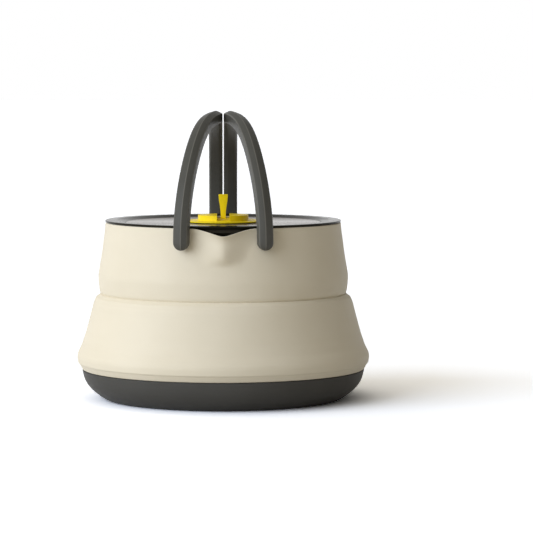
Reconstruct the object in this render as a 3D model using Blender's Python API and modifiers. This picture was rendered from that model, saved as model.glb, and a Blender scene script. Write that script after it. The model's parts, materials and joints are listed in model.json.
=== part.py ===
"""Collapsible kettle: metal base pan, silicone wall, two swinging handles and a lid with a fold-down tab.

Units are metres, +Z is up and the spout faces -Y. The origin is the centre of the base's flat bottom.
"""
import math

import bmesh
import bpy
from mathutils import Matrix, Vector

# Driving sizes of the body: the rim, how far the outline swells or draws in below it, and the seam
RIM_RADIUS = 0.0643
RIM_HEIGHT = 0.0966
BULGE_SWELL = 0.0041
BULGE_DROP = 0.0294
GROOVE_INSET = 0.0008
GROOVE_DROP = 0.0095
FLARE = 0.0124
SEAM_HEIGHT = 0.0167
SEAM_TUCK = 0.0027
TUCK_HEIGHT = 0.0066

BULGE_RADIUS = RIM_RADIUS + BULGE_SWELL
BULGE_HEIGHT = RIM_HEIGHT - BULGE_DROP
GROOVE_RADIUS = BULGE_RADIUS - GROOVE_INSET
GROOVE_HEIGHT = BULGE_HEIGHT - GROOVE_DROP
WIDEST_RADIUS = GROOVE_RADIUS + FLARE
WIDEST_HEIGHT = SEAM_HEIGHT + TUCK_HEIGHT
SEAM_RADIUS = WIDEST_RADIUS - SEAM_TUCK

# Walls and gaps
WALL = 0.0020
RIM_WALL = 0.0015
GAP = 0.0003
CUT_OVERRUN = 0.0010
MERGE_DISTANCE = 0.00001

# Outlines as shares of the way from one driving point to the next: (radius share, height share)
PAN_SHARES = ((0.0, 0.0), (0.03, 0.13), (0.07, 0.26), (0.14, 0.40), (0.24, 0.53), (0.38, 0.66),
              (0.56, 0.79), (0.76, 0.92), (1.0, 1.0))
UPPER_SHARES = ((0.0, 0.0), (0.08, 0.12), (0.28, 0.32), (0.46, 0.52), (0.88, 0.89), (1.0, 1.0))
WAIST_SHARES = ((0.0, 0.0), (0.50, 0.52), (1.0, 0.98))
FOLD_SHARES = ((0.0, 0.0), (0.06, 0.02), (0.17, 0.05), (0.24, 0.10), (0.31, 0.18), (0.39, 0.30),
               (0.48, 0.42), (0.60, 0.58), (0.70, 0.69), (0.80, 0.80))
LOWER_SHARES = ((0.80, 0.81), (0.94, 0.91), (1.0, 1.0))
TUCK_SHARES = ((0.0, 0.0), (0.08, 0.33), (0.30, 0.50), (0.64, 0.67), (0.88, 0.84), (1.0, 1.0))

# Base pan and the ring that clamps the wall into it
PAN_WALL = 0.0015
PAN_ROUNDING = 0.0143
PAN_FLAT_RADIUS = SEAM_RADIUS - PAN_ROUNDING
TONGUE_DROP = 0.0042
TONGUE_WALL = 0.0013
BASE_RING_WALL = 0.0012
BASE_RING_FOOT = 0.0028
BASE_RING_RISE = 0.0033
BASE_RING_TOP = SEAM_HEIGHT + BASE_RING_RISE

# Spout pulled out of the upper wall
SPOUT_REACH = 0.0080
SPOUT_HALF_WIDTH = 0.0165
SPOUT_HEIGHT = 0.0195
SPOUT_DIP = 0.0037
SPOUT_DIP_HEIGHT = 0.0110
SPOUT_TIP_ROUND_SHARE = 0.10
SPOUT_FLANK_SHARE = 1.70
SPOUT_CROWDING_SHARE = 0.60
# Reach of the spout from its lip down, as (reach share, height share)
SPOUT_RISE_SHARES = ((1.0, 1.0), (0.60, 0.72), (0.53, 0.34), (0.14, 0.12), (0.0, 0.0))

# Handles: pivots, height of the arch and its section
PIVOT_DROP = 0.0072
PIVOT_HEIGHT = RIM_HEIGHT - PIVOT_DROP
FRONT_PIVOT_CLEARANCE = 0.0058
FRONT_PIVOT_X = SPOUT_HALF_WIDTH + FRONT_PIVOT_CLEARANCE
HANDLE_SPACING = 0.0006
HANDLE_WIDTH = 0.0077
HANDLE_FLARE = 0.0003
HANDLE_DEPTH = 0.0068
ARCH_HEIGHT = 0.0648
SPREAD_BLEND = 0.0100
SPREAD_BOW = 0.0109
BOW_TURN_SHARE = 0.55
BOW_START_SHARE = 0.08
FRONT_END_RADIUS = 0.0042
ARCH_STATIONS = 32
END_STATIONS = 4
# Section of (sideways, outwards) shares: a low ridge on both faces, and flat where the arches face
SECTION_SHARES = ((0.50, -0.16), (0.50, 0.16), (0.46, 0.30), (0.34, 0.37), (-0.06, 0.49), (-0.14, 0.49),
                  (-0.42, 0.34), (-0.50, 0.22), (-0.50, -0.42), (-0.46, -0.46), (-0.23, -0.50),
                  (0.34, -0.42), (0.46, -0.32))

# Handle pivots: the bush's flange stands off the sloping wall, and its inner end stands proud of the ring
PIN_RADIUS = 0.00125
PIN_DEPTH_IN_HANDLE = 0.0036
PIN_GROOVE_DEPTH = 0.0004
PIN_TAIL = 0.0009
CLIP_THICKNESS = 0.0006
CLIP_RADIUS = 0.0026
BUSH_CLEARANCE = 0.0001
BUSH_WALL = 0.0011
BUSH_BORE = PIN_RADIUS + BUSH_CLEARANCE
BUSH_RADIUS = BUSH_BORE + BUSH_WALL
BUSH_FLANGE_RADIUS = 0.0032
BUSH_FLANGE = 0.0006
BUSH_STANDOFF = 0.0007
BUSH_PROUD = 0.0009

# Stiffening ring inside the rim
RING_WALL = 0.0013
RING_OUTSIDE = RIM_RADIUS - RIM_WALL - GAP
RING_INSIDE = RING_OUTSIDE - RING_WALL
RING_EDGE = 0.0017
RING_BOTTOM = PIVOT_HEIGHT - BUSH_RADIUS - GAP - RING_EDGE
RING_NOTCH_WIDTH = 0.0270
RING_NOTCH_DEPTH = 0.0090

# Lid
LID_OVERHANG = 0.0002
LID_RADIUS = RIM_RADIUS + LID_OVERHANG
LID_FLANGE = 0.0010
LID_FLANGE_WIDTH = 0.0053
LID_DISH_TOP_RADIUS = LID_RADIUS - LID_FLANGE_WIDTH
LID_DISH_SLOPE = 0.0056
LID_DISH_BOTTOM_RADIUS = LID_DISH_TOP_RADIUS - LID_DISH_SLOPE
LID_DISH_DEPTH = 0.0013
PLUG_CLEARANCE = 0.0010
PLUG_RADIUS = RING_INSIDE - PLUG_CLEARANCE
PLUG_DEPTH = 0.0037
PLUG_WALL = 0.0016
GASKET_HEIGHT = 0.0014
GASKET_GROOVE_DEPTH = 0.0010
LEDGE_WIDTH = 0.0016
LEDGE_THICKNESS = 0.0010
WINDOW_THICKNESS = 0.0011

# Lid knob with its tab
KNOB_FLANGE_RADIUS = 0.0210
KNOB_FLANGE = 0.0007
BOSS_RADIUS = 0.0138
BOSS_HEIGHT = 0.0037
SLOT_WIDTH = 0.0068
SLOT_SILL = 0.0002
STEM_RADIUS = 0.0023
STEM_TAIL = 0.0004
WASHER_RADIUS = 0.0060
WASHER_THICKNESS = 0.0007
NUT_RADIUS = 0.0046
NUT_SIDES = 6
NUT_HEIGHT = 0.0020
TAB_PIN_RADIUS = 0.0005
TAB_PIN_LENGTH = 0.0130
TAB_PIN_CLEARANCE = 0.0001
TAB_THICKNESS = 0.0022
TAB_HEIGHT = 0.0123
TAB_ROOT_WIDTH = 0.0030
TAB_NECK_WIDTH = 0.0028
TAB_HEAD_WIDTH = 0.0050
TAB_NECK_SHARE = 0.28
TAB_HEAD_SHARE = 0.80

# Facets round each turned piece
SPOUT_WALL_STEPS = 64
ROUND_STEPS = 48
SMALL_STEPS = 16
TINY_STEPS = 12
SMOOTH_ANGLE = 35


def between(start, end, shares):
    """Points from start to end, both (radius, height)."""
    return [(start[0] + (end[0] - start[0]) * radial, start[1] + (end[1] - start[1]) * vertical)
            for radial, vertical in shares]


def material(name, colour, roughness, metallic=0.0, alpha=1.0):
    made = bpy.data.materials.new(name)
    made.use_nodes = True
    shader = made.node_tree.nodes["Principled BSDF"]
    shader.inputs["Base Color"].default_value = (*colour, 1.0)
    shader.inputs["Roughness"].default_value = roughness
    shader.inputs["Metallic"].default_value = metallic
    shader.inputs["Alpha"].default_value = alpha
    made.diffuse_color = (*colour, alpha)
    return made


def add_object(name, mesh, collection, finish=None):
    made = bpy.data.objects.new(name, mesh)
    collection.objects.link(made)
    if finish is not None:
        mesh.materials.append(finish)
    return made


def shade(mesh):
    mesh.shade_smooth()
    mesh.set_sharp_from_angle(angle=math.radians(SMOOTH_ANGLE))


def turned(name, outline, collection, finish=None, steps=ROUND_STEPS):
    """A closed outline of (radius, height), down its outer side first, turned about Z into a mesh."""
    profile = bpy.data.meshes.new(name + "_profile")
    count = len(outline)
    edges = [(index, (index + 1) % count) for index in range(count)]
    if outline[0][0] == 0 and outline[-1][0] == 0:
        edges.pop()
    profile.from_pydata([(radius, 0, height) for radius, height in outline], edges, [])
    source = bpy.data.objects.new(name + "_source", profile)
    collection.objects.link(source)
    screw = source.modifiers.new("Turn", "SCREW")
    screw.axis = "Z"
    screw.angle = 2 * math.pi
    screw.steps = steps
    screw.render_steps = steps
    screw.use_merge_vertices = True
    screw.merge_threshold = MERGE_DISTANCE
    mesh = evaluated_mesh(source, name)
    bpy.data.objects.remove(source)
    bpy.data.meshes.remove(profile)
    shade(mesh)
    return add_object(name, mesh, collection, finish)


def evaluated_mesh(source, name):
    bpy.context.view_layer.update()
    graph = bpy.context.evaluated_depsgraph_get()
    mesh = bpy.data.meshes.new_from_object(source.evaluated_get(graph))
    mesh.name = name
    return mesh


def tube(name, inner, outer, bottom, top, collection, finish=None, steps=ROUND_STEPS):
    return turned(name, [(outer, top), (outer, bottom), (inner, bottom), (inner, top)],
                  collection, finish, steps)


def cylinder(name, radius, bottom, top, collection, finish=None, steps=SMALL_STEPS):
    mesh = bpy.data.meshes.new(name)
    shape = bmesh.new()
    bmesh.ops.create_cone(shape, cap_ends=True, segments=steps, radius1=radius, radius2=radius,
                          depth=top - bottom, matrix=Matrix.Translation((0, 0, (top + bottom) / 2)))
    shape.to_mesh(mesh)
    shape.free()
    shade(mesh)
    return add_object(name, mesh, collection, finish)


def box(name, low, high, collection, finish=None):
    mesh = bpy.data.meshes.new(name)
    shape = bmesh.new()
    middle = (Vector(low) + Vector(high)) / 2
    span = Vector(high) - Vector(low)
    bmesh.ops.create_cube(shape, size=1, matrix=Matrix.Translation(middle) @ Matrix.Diagonal((*span, 1)))
    shape.to_mesh(mesh)
    shape.free()
    return add_object(name, mesh, collection, finish)


def cut(piece, cutter):
    cutter.hide_render = True
    cutter.display_type = "WIRE"
    step = piece.modifiers.new("Cut " + cutter.name, "BOOLEAN")
    step.operation = "DIFFERENCE"
    step.object = cutter


def point_along(piece, origin, direction):
    """Stand a piece that was made about Z on a point, with its Z along a direction."""
    piece.rotation_mode = "QUATERNION"
    piece.rotation_quaternion = direction.to_track_quat("Z", "Y")
    piece.location = origin


def wall_inside(outline, wall):
    """The inner side of a wall, bottom to top, from its outer side given top to bottom."""
    return [(radius - wall, height) for radius, height in reversed(outline)]


def pan_outline():
    return between((SEAM_RADIUS, SEAM_HEIGHT - GAP), (PAN_FLAT_RADIUS, 0), PAN_SHARES)


def pan_inside():
    """The pan's inner side, top to bottom, to the edge of its flat floor."""
    outer = pan_outline()
    inner = [(radius - PAN_WALL, height) for radius, height in outer[:3]]
    for radius, height in outer[3:-1]:
        inner.append((radius - PAN_WALL, height + PAN_WALL / 2))
    return inner + [(PAN_FLAT_RADIUS - PAN_WALL, PAN_WALL)]


def radius_at(outline, height):
    """Radius of an outline, given top to bottom, at a height."""
    for (high_radius, high), (low_radius, low) in zip(outline, outline[1:]):
        if low <= height <= high:
            return low_radius + (high_radius - low_radius) * (height - low) / (high - low)
    return outline[-1][0]


def tongue_foot():
    return SEAM_HEIGHT - TONGUE_DROP


def tongue_radius():
    """Outer radius of the wall's tongue, clear of the pan beside its foot."""
    return radius_at(pan_inside(), tongue_foot()) - GAP


def make_base(parts, finishes):
    inner = pan_inside()
    turned("base_pan", pan_outline() + [(0, 0), (0, PAN_WALL)] + inner[::-1], parts, finishes["anodised"])
    foot = tongue_foot() - BASE_RING_FOOT
    outside = min(tongue_radius() - TONGUE_WALL, radius_at(inner, foot)) - GAP
    tube("base_ring", outside - BASE_RING_WALL, outside, foot, BASE_RING_TOP, parts, finishes["nylon"])


def lower_outline():
    groove = (GROOVE_RADIUS, GROOVE_HEIGHT)
    widest = (WIDEST_RADIUS, WIDEST_HEIGHT)
    seam = (SEAM_RADIUS, SEAM_HEIGHT)
    return between(groove, widest, LOWER_SHARES) + between(widest, seam, TUCK_SHARES)[1:]


def make_lower_wall(parts, finishes):
    outer = lower_outline()
    tongue = tongue_radius()
    foot = tongue_foot()
    inner_low = tongue - TONGUE_WALL
    outline = outer + [(tongue, SEAM_HEIGHT), (tongue, foot), (inner_low, foot),
                       (inner_low, BASE_RING_TOP + GAP)]
    outline += wall_inside(outer[:2], WALL)
    turned("wall_lower", outline, parts, finishes["silicone"])


def make_fold(parts, finishes):
    outer = between((GROOVE_RADIUS, GROOVE_HEIGHT), (WIDEST_RADIUS, WIDEST_HEIGHT), FOLD_SHARES)
    turned("wall_fold", outer + wall_inside(outer, WALL), parts, finishes["silicone"])


def spout_amount(x, z):
    """How far the spout pulls a point of the wall out, from 0 to 1 across, and from 0 to 1 up."""
    across = math.hypot(x / SPOUT_HALF_WIDTH, SPOUT_TIP_ROUND_SHARE) - SPOUT_TIP_ROUND_SHARE
    side = max(0, 1 - across)
    up = min(1, max(0, 1 - (RIM_HEIGHT - z) / SPOUT_HEIGHT))
    flank = SPOUT_FLANK_SHARE - (SPOUT_FLANK_SHARE - 1) * side
    return side * side * flank, radius_at(SPOUT_RISE_SHARES, up)


def pull_spout(mesh):
    """Crowd the wall's columns towards -Y, then pull the beak out of it and dip its lip."""
    for vertex in mesh.vertices:
        x, y, z = vertex.co
        radius = math.hypot(x, y)
        turn = math.atan2(x, -y)
        turn -= SPOUT_CROWDING_SHARE * math.sin(turn)
        x = radius * math.sin(turn)
        y = -radius * math.cos(turn)
        if y < 0:
            side, up = spout_amount(x, z)
            stretch = 1 + SPOUT_REACH * side * up / radius
            drop = max(0, 1 - (RIM_HEIGHT - z) / SPOUT_DIP_HEIGHT)
            y *= stretch
            z -= SPOUT_DIP * side * drop
        vertex.co = (x, y, z)


def upper_outline():
    rim = (RIM_RADIUS, RIM_HEIGHT)
    bulge = (BULGE_RADIUS, BULGE_HEIGHT)
    groove = (GROOVE_RADIUS, GROOVE_HEIGHT + GAP)
    return between(rim, bulge, UPPER_SHARES) + between(bulge, groove, WAIST_SHARES)[1:]


def make_upper_wall(parts, cutters, finishes):
    outer = upper_outline()
    ring_foot = RING_BOTTOM - GAP
    ring_bed = RIM_RADIUS - RIM_WALL
    inner = [point for point in wall_inside(outer, WALL) if point[1] < ring_foot]
    outline = outer + inner + [(ring_bed, ring_foot), (ring_bed, RIM_HEIGHT)]
    upper = turned("wall_upper", outline, parts, finishes["silicone"], SPOUT_WALL_STEPS)
    pull_spout(upper.data)
    shade(upper.data)
    ring = tube("rim_ring", RING_INSIDE, RING_OUTSIDE, RING_BOTTOM, RIM_HEIGHT - GAP / 2,
                parts, finishes["nylon"])
    notch = box("spout_notch", (-RING_NOTCH_WIDTH / 2, -RIM_RADIUS, RIM_HEIGHT - RING_NOTCH_DEPTH),
                (RING_NOTCH_WIDTH / 2, -RIM_RADIUS / 2, RIM_HEIGHT + CUT_OVERRUN), cutters)
    cut(ring, notch)
    return upper, ring


def handle_rear_x():
    return (HANDLE_SPACING + HANDLE_WIDTH) / 2


def pivot_radius():
    """Distance of each pivot point from the kettle's axis: the handle's middle, outside wall and flange."""
    wall = radius_at(upper_outline(), PIVOT_HEIGHT)
    return wall + BUSH_STANDOFF + BUSH_FLANGE + GAP + HANDLE_DEPTH / 2


def front_pivot_y():
    return -math.sqrt(pivot_radius() ** 2 - FRONT_PIVOT_X ** 2)


def rear_pivot_y():
    return math.sqrt(pivot_radius() ** 2 - handle_rear_x() ** 2)


def spread(y):
    """Sideways drift of an arch's centre line in its front half, and its slope."""
    slope = (FRONT_PIVOT_X - handle_rear_x()) / -front_pivot_y()
    if y > SPREAD_BLEND:
        return 0, 0
    if y < -SPREAD_BLEND:
        return -y * slope + bow(y), slope
    into = (SPREAD_BLEND - y) / (2 * SPREAD_BLEND)
    return slope * into ** 2 * SPREAD_BLEND + bow(y), slope * into


def bow(y):
    """How far the front half stands outside its straight line: out near the top, in near the pivot."""
    share = max(0, y / front_pivot_y())
    near = share * share / (share + BOW_START_SHARE)
    return SPREAD_BOW * near * (1 - share) * (BOW_TURN_SHARE - share)


def handle_section(width, depth):
    return [(sideways * width, outwards * depth) for sideways, outwards in SECTION_SHARES]


def arch_station(angle):
    """Centre, sideways and outward directions and width at an angle round the arch, 0 at the front pivot."""
    middle_y = (front_pivot_y() + rear_pivot_y()) / 2
    half_length = (rear_pivot_y() - front_pivot_y()) / 2
    y = middle_y - half_length * math.cos(angle)
    drift, slope = spread(y)
    centre = Vector((handle_rear_x() + drift, y, PIVOT_HEIGHT + ARCH_HEIGHT * math.sin(angle)))
    heading = Vector((-slope, 1, 0)).normalized()
    sideways = Vector((heading.y, -heading.x, 0))
    outwards = -heading * math.cos(angle) * ARCH_HEIGHT + Vector((0, 0, 1)) * math.sin(angle) * half_length
    width = HANDLE_WIDTH + HANDLE_FLARE * max(0, math.cos(angle))
    return centre, sideways, outwards.normalized(), width


def end_stations(angle, radius):
    """Stations that round off the handle's end below its pivot."""
    centre, sideways, outwards, width = arch_station(angle)
    stations = []
    for step in range(1, END_STATIONS + 1):
        turn = math.pi / 2 * step / (END_STATIONS + 0.5)
        down = Vector((0, 0, -radius * math.sin(turn)))
        stations.append((centre + down, sideways, outwards, width, math.cos(turn)))
    return stations


def make_handle(name, side, parts, finish):
    """One arch, for side +1 or -1, with its origin on its front pivot."""
    stations = end_stations(0, FRONT_END_RADIUS)[::-1]
    for index in range(ARCH_STATIONS + 1):
        stations.append((*arch_station(math.pi * index / ARCH_STATIONS), 1))
    stations += end_stations(math.pi, HANDLE_WIDTH / 2)
    pivot = pivot_points(side)[0]
    shape = bmesh.new()
    rings = []
    for centre, sideways, outwards, width, share in stations:
        ring = []
        for across, out in handle_section(width, HANDLE_DEPTH):
            point = centre + sideways * across * share + outwards * out * share
            point.x *= side
            ring.append(shape.verts.new(point - pivot))
        rings.append(ring)
    for low, high in zip(rings, rings[1:]):
        for index in range(len(low)):
            following = (index + 1) % len(low)
            shape.faces.new((low[index], low[following], high[following], high[index]))
    shape.faces.new(rings[0])
    shape.faces.new(rings[-1])
    bmesh.ops.recalc_face_normals(shape, faces=shape.faces)
    mesh = bpy.data.meshes.new(name)
    shape.to_mesh(mesh)
    shape.free()
    shade(mesh)
    handle = add_object(name, mesh, parts, finish)
    handle.location = pivot
    return handle


def pivot_points(side):
    front = Vector((side * FRONT_PIVOT_X, front_pivot_y(), PIVOT_HEIGHT))
    rear = Vector((side * handle_rear_x(), rear_pivot_y(), PIVOT_HEIGHT))
    return front, rear


def make_pivot(label, point, inwards, handle, walls, parts, cutters, finishes):
    """Pin, bush and clip of one pivot, and the holes that take them, all along the hinge line."""
    handle_face = HANDLE_DEPTH / 2
    bush_end = pivot_radius() - RING_INSIDE + BUSH_PROUD
    clip_low = bush_end + GAP
    clip_high = clip_low + CLIP_THICKNESS
    groove = PIN_RADIUS - PIN_GROOVE_DEPTH
    groove_low = clip_low - GAP / 2
    groove_high = clip_high + GAP / 2
    pin_start = handle_face - PIN_DEPTH_IN_HANDLE
    pin_end = groove_high + PIN_TAIL
    pin = turned("pivot_pin_" + label,
                 [(0, pin_end), (PIN_RADIUS, pin_end), (PIN_RADIUS, groove_high), (groove, groove_high),
                  (groove, groove_low), (PIN_RADIUS, groove_low), (PIN_RADIUS, pin_start), (0, pin_start)],
                 parts, finishes["steel"], TINY_STEPS)
    socket = cylinder("pin_socket_" + label, BUSH_BORE, pin_start - GAP,
                      handle_face + CUT_OVERRUN, cutters, steps=TINY_STEPS)
    flange_low = handle_face + GAP
    flange_high = flange_low + BUSH_FLANGE
    bush = turned("pivot_bush_" + label,
                  [(BUSH_RADIUS, bush_end), (BUSH_RADIUS, flange_high), (BUSH_FLANGE_RADIUS, flange_high),
                   (BUSH_FLANGE_RADIUS, flange_low), (BUSH_BORE, flange_low), (BUSH_BORE, bush_end)],
                  parts, finishes["nylon"], SMALL_STEPS)
    clip = tube("pivot_clip_" + label, groove + BUSH_CLEARANCE, CLIP_RADIUS, clip_low, clip_high,
                parts, finishes["steel"], TINY_STEPS)
    hole = cylinder("bush_hole_" + label, BUSH_RADIUS + GAP, handle_face, pin_end, cutters)
    for piece in (pin, socket, bush, clip, hole):
        point_along(piece, point, inwards)
    cut(handle, socket)
    for wall in walls:
        cut(wall, hole)


def make_handles(walls, parts, cutters, finishes):
    for name, side in (("left", -1), ("right", 1)):
        handle = make_handle("handle_" + name, side, parts, finishes["grip"])
        front, rear = pivot_points(side)
        hinge = (rear - front).normalized()
        make_pivot("front_" + name, front, hinge, handle, walls, parts, cutters, finishes)
        make_pivot("rear_" + name, rear, -hinge, handle, walls, parts, cutters, finishes)


def lid_top():
    return RIM_HEIGHT + GAP + LID_FLANGE


def window_top():
    return lid_top() - LID_DISH_DEPTH


def make_lid(parts, finishes):
    top = lid_top()
    flange_bottom = top - LID_FLANGE
    floor = window_top()
    ledge_top = floor - WINDOW_THICKNESS - GAP
    ledge_bottom = ledge_top - LEDGE_THICKNESS
    plug_bottom = flange_bottom - PLUG_DEPTH
    plug_inside = PLUG_RADIUS - PLUG_WALL
    slot_top = flange_bottom - GASKET_GROOVE_DEPTH
    slot_bottom = slot_top - GASKET_HEIGHT - 2 * GAP
    slot_radius = PLUG_RADIUS - GASKET_GROOVE_DEPTH
    ledge_radius = LID_DISH_BOTTOM_RADIUS - LEDGE_WIDTH
    outline = [(LID_DISH_TOP_RADIUS, top), (LID_RADIUS, top), (LID_RADIUS, flange_bottom),
               (PLUG_RADIUS, flange_bottom), (PLUG_RADIUS, slot_top), (slot_radius, slot_top),
               (slot_radius, slot_bottom), (PLUG_RADIUS, slot_bottom), (PLUG_RADIUS, plug_bottom),
               (plug_inside, plug_bottom), (plug_inside, ledge_top), (LID_DISH_BOTTOM_RADIUS, ledge_bottom),
               (ledge_radius, ledge_bottom), (ledge_radius, ledge_top), (LID_DISH_BOTTOM_RADIUS, ledge_top),
               (LID_DISH_BOTTOM_RADIUS, floor)]
    turned("lid_frame", outline, parts, finishes["lid"])
    gasket_top = slot_top - GAP
    tube("lid_gasket", slot_radius + GAP, RING_INSIDE - GAP, gasket_top - GASKET_HEIGHT, gasket_top,
         parts, finishes["seal"])
    tube("lid_window", STEM_RADIUS + GAP, LID_DISH_BOTTOM_RADIUS - GAP, floor - WINDOW_THICKNESS, floor,
         parts, finishes["window"])


def make_knob(parts, cutters, finishes):
    bottom = window_top() + GAP
    flange_top = bottom + KNOB_FLANGE
    top = bottom + BOSS_HEIGHT
    washer_top = window_top() - WINDOW_THICKNESS - GAP
    nut_top = washer_top - WASHER_THICKNESS - GAP
    stem_end = nut_top - NUT_HEIGHT - STEM_TAIL
    knob = turned("knob_base", [(0, top), (BOSS_RADIUS, top), (BOSS_RADIUS, flange_top),
                                (KNOB_FLANGE_RADIUS, flange_top), (KNOB_FLANGE_RADIUS, bottom),
                                (STEM_RADIUS, bottom), (STEM_RADIUS, stem_end), (0, stem_end)],
                  parts, finishes["yellow"], ROUND_STEPS // 2)
    sill = flange_top + SLOT_SILL
    slot = box("tab_slot", (-SLOT_WIDTH / 2, -BOSS_RADIUS - CUT_OVERRUN, sill),
               (SLOT_WIDTH / 2, BOSS_RADIUS + CUT_OVERRUN, top + CUT_OVERRUN), cutters)
    cut(knob, slot)
    axle = Vector((0, 0, top - TAB_THICKNESS / 2))
    along = Vector((1, 0, 0))
    half_pin = TAB_PIN_LENGTH / 2
    hole_radius = TAB_PIN_RADIUS + TAB_PIN_CLEARANCE
    pin = cylinder("tab_pin", TAB_PIN_RADIUS, -half_pin, half_pin, parts, finishes["steel"], TINY_STEPS)
    hole = cylinder("tab_pin_hole", hole_radius, -half_pin - GAP, half_pin + GAP, cutters, steps=TINY_STEPS)
    point_along(pin, axle, along)
    point_along(hole, axle, along)
    cut(knob, hole)
    make_tab(axle, hole, parts, finishes)
    bore = STEM_RADIUS + GAP
    tube("knob_washer", bore, WASHER_RADIUS, washer_top - WASHER_THICKNESS, washer_top,
         parts, finishes["seal"], SMALL_STEPS)
    nut = cylinder("knob_nut", NUT_RADIUS, nut_top - NUT_HEIGHT, nut_top, parts, finishes["steel"],
                   NUT_SIDES)
    nut_bore = cylinder("nut_bore", bore, nut_top - NUT_HEIGHT - CUT_OVERRUN, nut_top + CUT_OVERRUN,
                        cutters, steps=SMALL_STEPS)
    cut(nut, nut_bore)


def make_tab(axle, hole, parts, finishes):
    """The tab's front outline, extruded through its thickness, with its origin on its pin."""
    root = -TAB_THICKNESS / 2
    neck = TAB_HEIGHT * TAB_NECK_SHARE
    head = TAB_HEIGHT * TAB_HEAD_SHARE
    heights = (root, neck / 4, neck, (neck + head) / 2, head, TAB_HEIGHT)
    middle = (TAB_NECK_WIDTH + TAB_HEAD_WIDTH) / 2
    widths = (TAB_ROOT_WIDTH, TAB_ROOT_WIDTH, TAB_NECK_WIDTH, middle, TAB_HEAD_WIDTH, TAB_HEAD_WIDTH)
    right = [(width / 2, height) for width, height in zip(widths, heights)]
    left = [(-across, height) for across, height in reversed(right)]
    curve = bpy.data.curves.new("lid_tab_outline", "CURVE")
    curve.dimensions = "2D"
    curve.fill_mode = "BOTH"
    curve.extrude = TAB_THICKNESS / 2
    spline = curve.splines.new("POLY")
    spline.points.add(len(right) + len(left) - 1)
    for point, (across, height) in zip(spline.points, right + left):
        point.co = (across, height, 0, 1)
    spline.use_cyclic_u = True
    source = bpy.data.objects.new("lid_tab_source", curve)
    parts.objects.link(source)
    source.rotation_euler = (math.pi / 2, 0, 0)
    mesh = evaluated_mesh(source, "lid_tab")
    mesh.transform(source.matrix_world)
    bpy.data.objects.remove(source)
    shape = bmesh.new()
    shape.from_mesh(mesh)
    bmesh.ops.remove_doubles(shape, verts=shape.verts, dist=MERGE_DISTANCE)
    shape.to_mesh(mesh)
    shape.free()
    tab = add_object("lid_tab", mesh, parts, finishes["yellow"])
    tab.location = axle
    cut(tab, hole)


def main():
    for old in list(bpy.data.objects):
        bpy.data.objects.remove(old)
    parts = bpy.data.collections.new("collapsible_kettle")
    cutters = bpy.data.collections.new("cutters")
    for collection in (parts, cutters):
        bpy.context.scene.collection.children.link(collection)
    finishes = {
        "anodised": material("anodised", (0.060, 0.060, 0.055), 0.45, 0.35),
        "silicone": material("silicone", (0.72, 0.66, 0.54), 0.55),
        "nylon": material("nylon", (0.035, 0.035, 0.037), 0.5),
        "grip": material("grip", (0.070, 0.070, 0.064), 0.45),
        "steel": material("steel", (0.60, 0.60, 0.60), 0.3, 1.0),
        "lid": material("lid", (0.055, 0.055, 0.055), 0.35),
        "window": material("window", (0.23, 0.21, 0.20), 0.15),
        "seal": material("seal", (0.05, 0.05, 0.05), 0.7),
        "yellow": material("yellow", (0.85, 0.66, 0.02), 0.4),
    }
    make_base(parts, finishes)
    make_lower_wall(parts, finishes)
    make_fold(parts, finishes)
    walls = make_upper_wall(parts, cutters, finishes)
    make_handles(walls, parts, cutters, finishes)
    make_lid(parts, finishes)
    make_knob(parts, cutters, finishes)


main()
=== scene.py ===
"""Looks of the collapsible kettle: fine surfaces, finishes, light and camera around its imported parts.

Units are metres, +Z is up and the spout faces -Y. The camera looks along +Y from a little above the rim.
"""

import json
import math

import bmesh
import bpy
from mathutils import Matrix, Vector


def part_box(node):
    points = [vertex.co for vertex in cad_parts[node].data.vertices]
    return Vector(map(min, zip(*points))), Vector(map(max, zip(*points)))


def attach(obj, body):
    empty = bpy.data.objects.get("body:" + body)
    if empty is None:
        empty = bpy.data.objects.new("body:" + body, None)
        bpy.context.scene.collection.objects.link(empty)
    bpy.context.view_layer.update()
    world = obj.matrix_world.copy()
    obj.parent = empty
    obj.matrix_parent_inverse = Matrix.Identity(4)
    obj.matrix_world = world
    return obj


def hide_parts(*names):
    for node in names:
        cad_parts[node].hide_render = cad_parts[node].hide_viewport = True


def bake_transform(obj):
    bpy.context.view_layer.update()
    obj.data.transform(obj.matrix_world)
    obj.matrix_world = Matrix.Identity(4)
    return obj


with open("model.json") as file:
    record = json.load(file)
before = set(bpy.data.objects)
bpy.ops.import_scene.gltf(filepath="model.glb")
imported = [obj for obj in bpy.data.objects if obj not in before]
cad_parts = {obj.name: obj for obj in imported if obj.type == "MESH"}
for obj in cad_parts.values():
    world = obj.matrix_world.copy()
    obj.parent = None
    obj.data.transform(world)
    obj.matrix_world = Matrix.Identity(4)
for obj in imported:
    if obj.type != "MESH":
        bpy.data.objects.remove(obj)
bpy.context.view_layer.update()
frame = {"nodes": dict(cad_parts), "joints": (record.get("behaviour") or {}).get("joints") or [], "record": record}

# Camera, fitted to the ellipses of the rim, the seam and the foot in a square picture
CAMERA_PLACE = (0.0, -1.581, 0.1847)
CAMERA_DIP = 0.07106
CAMERA_TURN = -0.01498
SENSOR_WIDTH = 36.0
IMAGE_SIDE = 533
FOCAL_PIXELS = 2892

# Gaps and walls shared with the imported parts
GAP = 0.0003
WALL = 0.0020
RIM_WALL = 0.0015
TONGUE_WALL = 0.0013
MERGE_DISTANCE = 0.00001

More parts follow.
